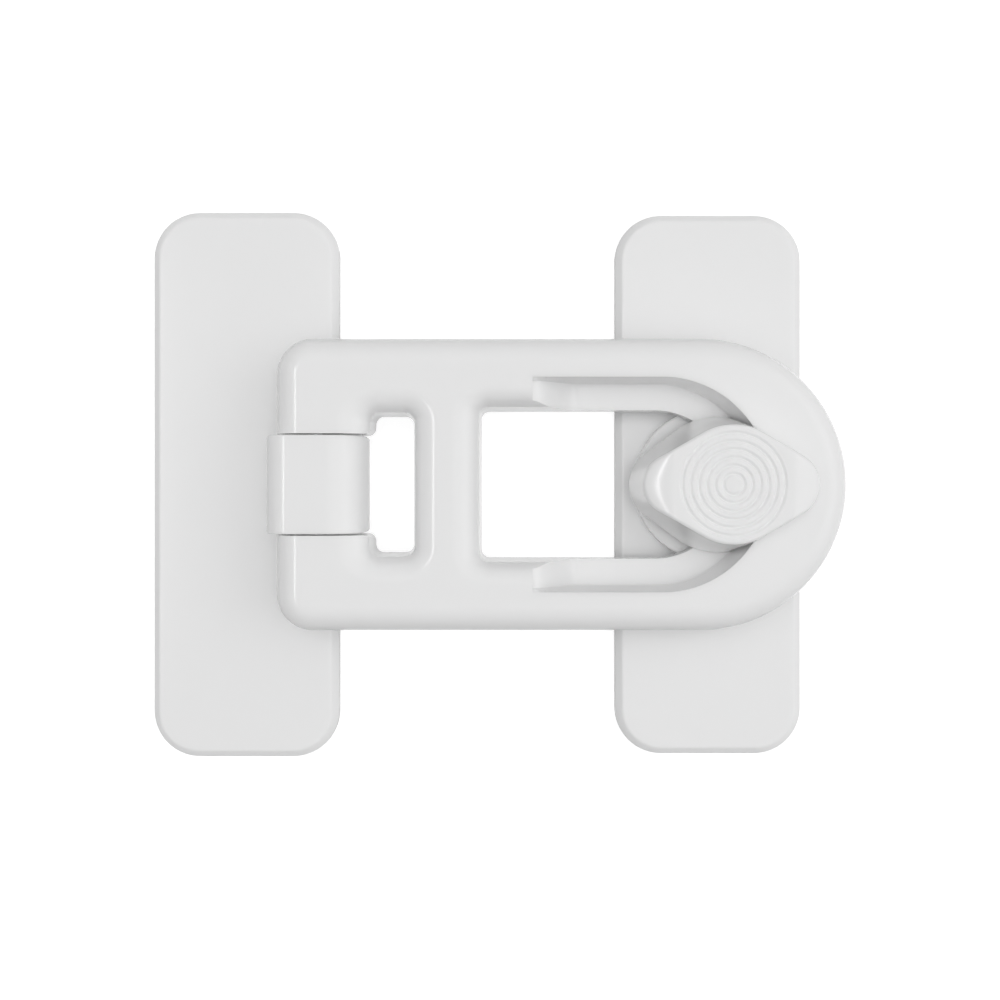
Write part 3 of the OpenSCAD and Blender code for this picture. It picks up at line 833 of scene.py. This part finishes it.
@dataclass
class Button:
    """The slide button: an eye-shaped top with ring grooves on a skirt that widens downwards."""

    centre: float = 36.4
    top: float = 20.6
    mid: float = 8.95
    tip: float = 4.7
    tip_at: float = 8.6
    foot_mid: float = 10.9
    foot_tip: float = 6.2
    foot_tip_at: float = 7.95
    foot_shift: float = 0.2
    foot_z: float = 8.3
    tip_drop: float = 1.3
    tip_crown: float = 0.8
    level_half: float = 9.0
    rim: float = 0.5
    grooves: int = 6
    groove_first: float = 1.56
    groove_pitch: float = 1.22
    groove_depth: float = 0.28
    groove_half: float = 0.4
    pad: float = 8.05
    middle: float = 0.6
    groove_step: float = 0.06
    end_curve: tuple[float, float] = (26.7, 16.0)
    end_far: tuple[float, float] = (60.0, 18.0)
    end_top: float = 15.3
    inner_top: float = 15.45
    carriage_x: tuple[float, float] = (29.3, 46.0)
    carriage_half: float = 6.05
    rail_x: tuple[float, float] = (28.5, 31.0)
    rail_half: tuple[float, float] = (4.5, 4.4)
    rail_top: float = 12.2
    pin_x: float = 24.6
    pin_half: float = 1.2
    pin_flat: float = 0.05
    spring_x: float = 26.8
    spring_half: float = 1.9

    def eye(self, at: float, mid: float, tip: float) -> np.ndarray:
        """An eye shape: a middle circle, two tip circles and the straight lines that touch them.

        Args:
            at: how far the tip circles' centres are from the middle.
            mid: the middle circle's radius.
            tip: the tip circles' radius.

        Returns:
            The ring, anticlockwise, n by 2.
        """
        lean = math.degrees(math.asin((mid - tip) / at))
        arcs = [arc((at, 0), (tip, tip), (lean - 90, 90 - lean), 61),
                arc((0, 0), (mid, mid), (90 - lean, 90 + lean), 41),
                arc((-at, 0), (tip, tip), (90 + lean, 270 - lean), 61),
                arc((0, 0), (mid, mid), (270 - lean, 270 + lean), 41)]
        share = np.linspace(0, 1, 26)[1:-1, None]
        parts = []
        for one, after in zip(arcs, arcs[1:] + arcs[:1]):
            parts += [one, one[-1] + (after[0] - one[-1]) * share]
        return np.concatenate(parts)

    def height(self, plan: np.ndarray) -> np.ndarray:
        """The top's height: level in the middle, dropping to both tips as the power 1.5 of the
        way, and to the tips' sides as the square of y."""
        end = self.tip_at + self.tip - self.level_half
        way = np.clip(np.abs(plan[:, 0]) - self.level_half, 0, end) / end
        crown = self.tip_crown * (plan[:, 1] / self.tip) ** 2
        return self.top - self.tip_drop * way ** 1.5 - crown * way

    def groove(self, x: np.ndarray, y: np.ndarray) -> np.ndarray:
        """How deep the nearest ring groove is at a point: half a cosine wave across its width."""
        r = np.hypot(x, y)
        number = np.clip(np.round((r - self.groove_first) / self.groove_pitch), 0, self.grooves - 1)
        off = np.abs(r - self.groove_first - number * self.groove_pitch) / self.groove_half
        return self.groove_depth * 0.5 * (1 + np.cos(math.pi * np.clip(off, 0, 1)))

    def body(self) -> bpy.types.Object:
        """The button's outside: rings from the foot up the skirt, round the rim and in to the
        middle, where they become circles so that the grooves run true."""
        edge = self.eye(self.tip_at, self.mid, self.tip)
        foot = self.eye(self.foot_tip_at, self.foot_mid, self.foot_tip) + (self.foot_shift, 0)
        rings = []
        side_z = self.height(edge) - self.rim
        for k in np.linspace(0, 1, 14)[:-1]:
            rings.append(lift(foot + (edge - foot) * k, self.foot_z + (side_z - self.foot_z) * k))
        for a in np.radians(np.linspace(0, 90, 12)):
            inset = self.rim * (1 - math.cos(a))
            plan = self.eye(self.tip_at, self.mid - inset, self.tip - inset)
            rings.append(lift(plan, self.height(plan) - self.rim * (1 - math.sin(a))))
        inner = rings[-1][:, :2]
        way = inner / np.linalg.norm(inner, axis=1, keepdims=True)
        inward = [inner + (self.pad * way - inner) * k for k in np.linspace(0, 1, 24)[1:]]
        inward += [r * way for r in np.arange(self.pad, self.middle, -self.groove_step)[1:]]
        for plan in inward:
            rings.append(lift(plan, self.height(plan) - self.groove(*plan.T)))
        grid = np.asarray(rings)
        grid[:, :, 0] += self.centre
        return make("slide_button", *loft(grid))

    def hollows(self) -> list[bpy.types.Object]:
        """The cutters of the underside: the curved end that clears the arm, and the spaces for the
        carriage, the rail, the stop pin and the spring."""
        low = self.foot_z - PAST
        (centre, radius), (far, side) = self.end_curve, self.end_far
        ring = np.concatenate([arc((centre, 0), (radius, radius), (-75, 75), 90),
                               [(far, side), (far, -side)]])
        (start, end), (round_half, half) = self.rail_x, self.rail_half
        return [make("end_tool", *loft([lift(ring, low), lift(ring, self.end_top)])),
                block("carriage_space", self.carriage_x, self.carriage_half, (low, self.inner_top)),
                rod("rail_round", (start, 0), round_half, (low, self.rail_top), upright=True),
                block("rail_space", self.rail_x, half, (low, self.rail_top)),
                block("pin_space", (self.pin_x, end), self.pin_half, (low, self.inner_top),
                      self.pin_half - self.pin_flat),
                block("spring_space", (self.spring_x, end), self.spring_half,
                      (low, self.inner_top))]

    def build(self, dresser: Dresser) -> None:
        """Builds and finishes the button.

        Args:
            dresser: hands out the finishes.
        """
        button = soften(carve(self.body(), self.hollows(), Carve.CUT), 40.0)
        dresser.piece(button, Spread.SHELL, "slider", "button")


def seen_rays(nodes: bpy.types.Nodes, link: Callable) -> bpy.types.NodeSocket:
    """A mask of the rays that see the background: from the camera, in gloss and through glass.

    Args:
        nodes: the nodes to add to.
        link: links two sockets.

    Returns:
        The mask's socket.
    """
    path = nodes.new("ShaderNodeLightPath")
    seen = path.outputs["Is Camera Ray"]
    for ray in ("Is Glossy Ray", "Is Transmission Ray"):
        either = nodes.new("ShaderNodeMath")
        either.operation = "MAXIMUM"
        link(seen, either.inputs[0])
        link(path.outputs[ray], either.inputs[1])
        seen = either.outputs[0]
    return seen


@dataclass(frozen=True)
class Lamp:
    """A soft lamp that points at the object: its place and sides in millimetres, the first side
    level, and its power in watts. It may light matt surfaces, show in gloss, or both."""

    name: str
    at: tuple[float, float, float]
    size: tuple[float, float]
    power: float
    matt: bool = True
    gloss: bool = True

    def hang(self) -> None:
        """Makes the lamp at its place and turns it to the object."""
        data = bpy.data.lights.new(self.name, "AREA")
        data.shape = "RECTANGLE"
        data.size, data.size_y = self.size[0] * MM, self.size[1] * MM
        data.energy = self.power
        lamp = bpy.data.objects.new(self.name, data)
        lamp.location = tuple(v * MM for v in self.at)
        x, y, z = np.asarray(self.at) / np.linalg.norm(self.at)
        lamp.rotation_euler = (math.acos(z), 0.0, math.atan2(y, x) + math.pi / 2)
        lamp.visible_diffuse, lamp.visible_glossy = self.matt, self.gloss
        bpy.context.scene.collection.objects.link(lamp)


LAMPS = (
    Lamp("key", (60.0, 120.0, 1700.0), (1400.0, 1050.0), 7.0, gloss=False),
    Lamp("strip", (-805.0, 60.0, 1650.0), (800.0, 110.0), 4.2, matt=False),
    Lamp("side", (1400.0, 150.0, 1200.0), (1250.0, 900.0), 2.3),
)


@dataclass
class Studio:
    """The floor, the lamps, the white around them and the camera."""

    camera_at: tuple[float, float, float] = (1.7, 0.0, 164.7)
    lens: float = 35.0
    sensor: float = 36.0
    shift_y: float = -0.0155
    nearest: float = 5.0
    floor_radius: float = 2500.0
    floor_z: tuple[float, float] = (-1.0, -0.02)
    floor_colour: tuple[float, float, float, float] = (0.4, 0.4, 0.4, 1.0)
    floor_roughness: float = 0.9
    floor_lift: float = 0.86
    sky: float = 0.575
    sky_lean: tuple[float, float, float] = (0.28, 0.14, 0.3)
    sky_dim: tuple[float, float, float] = (0.0, -0.95, 0.0)

    def camera(self) -> None:
        """The camera looks straight down, as the photograph does."""
        data = bpy.data.cameras.new("camera")
        data.lens = self.lens
        data.sensor_width = self.sensor
        data.shift_y = self.shift_y
        data.clip_start = self.nearest * MM
        eye = bpy.data.objects.new("camera", data)
        eye.location = tuple(v * MM for v in self.camera_at)
        bpy.context.scene.collection.objects.link(eye)
        bpy.context.scene.camera = eye

    def floor(self) -> None:
        """A wide pale floor that keeps the object's shadow, lifted towards white for the camera."""
        ring = circle((0, 0), self.floor_radius, 60)
        floor = make("floor", *loft([lift(ring, z) for z in self.floor_z]))
        material = bpy.data.materials.new("studio_floor")
        material.use_nodes = True
        nodes, link = material.node_tree.nodes, material.node_tree.links.new
        shader = next(n for n in nodes if n.type == "BSDF_PRINCIPLED")
        shader.inputs["Base Color"].default_value = self.floor_colour
        shader.inputs["Roughness"].default_value = self.floor_roughness
        shader.inputs["Specular IOR Level"].default_value = 0.0
        lifted = nodes.new("ShaderNodeMath")
        lifted.operation = "MULTIPLY"
        lifted.inputs[1].default_value = self.floor_lift
        link(seen_rays(nodes, link), lifted.inputs[0])
        shader.inputs["Emission Color"].default_value = WHITE
        link(lifted.outputs[0], shader.inputs["Emission Strength"])
        floor.data.materials.append(material)

    def world(self) -> None:
        """A pale sky, seen as white by the camera and in gloss. Elsewhere a way g has the
        brightness sky * (1 + g . (lean + dim * g)), which is more on the right and above."""
        world = bpy.data.worlds.new("studio")
        bpy.context.scene.world = world
        world.use_nodes = True
        nodes, link = world.node_tree.nodes, world.node_tree.links.new
        sky = next(n for n in nodes if n.type == "BACKGROUND")
        mix = nodes.new("ShaderNodeMix")
        way, lean = nodes.new("ShaderNodeTexCoord"), nodes.new("ShaderNodeVectorMath")
        grow, level = nodes.new("ShaderNodeVectorMath"), nodes.new("ShaderNodeMath")
        grow.operation = level.operation = "MULTIPLY_ADD"
        lean.operation = "DOT_PRODUCT"
        link(way.outputs["Generated"], grow.inputs[0])
        grow.inputs[1].default_value = self.sky_dim
        grow.inputs[2].default_value = self.sky_lean
        link(way.outputs["Generated"], lean.inputs[0])
        link(grow.outputs["Vector"], lean.inputs[1])
        link(lean.outputs["Value"], level.inputs[0])
        level.inputs[1].default_value = level.inputs[2].default_value = self.sky
        level.use_clamp = True
        link(level.outputs[0], mix.inputs["A"])
        mix.inputs["B"].default_value = 1.0
        link(seen_rays(nodes, link), mix.inputs["Factor"])
        link(mix.outputs["Result"], sky.inputs["Strength"])
        sky.inputs["Color"].default_value = WHITE

    def build(self) -> None:
        """Sets up the whole studio."""
        self.camera()
        self.floor()
        self.world()
        for lamp in LAMPS:
            lamp.hang()
        bpy.context.scene.view_settings.view_transform = "Standard"


CARRIED = {
    Spread.INNER: ("arm_cover", "slide_carriage"),
    Spread.STEEL: ("hinge_pin", "cover_screws", "stop_pin", "button_screws"),
}


def main() -> None:
    """Builds the studio, the lock's sub-assemblies and the finishes, and reports each piece."""
    logging.basicConfig(level=logging.INFO, format="%(name)s %(message)s")
    Studio().build()
    dresser = Dresser()
    for part in (HingeSide(), LatchSide(), Arm(), Button()):
        part.build(dresser)
    for spread, names in CARRIED.items():
        for name in names:
            dresser.node(name, spread)


if __name__ == "__main__":
    main()
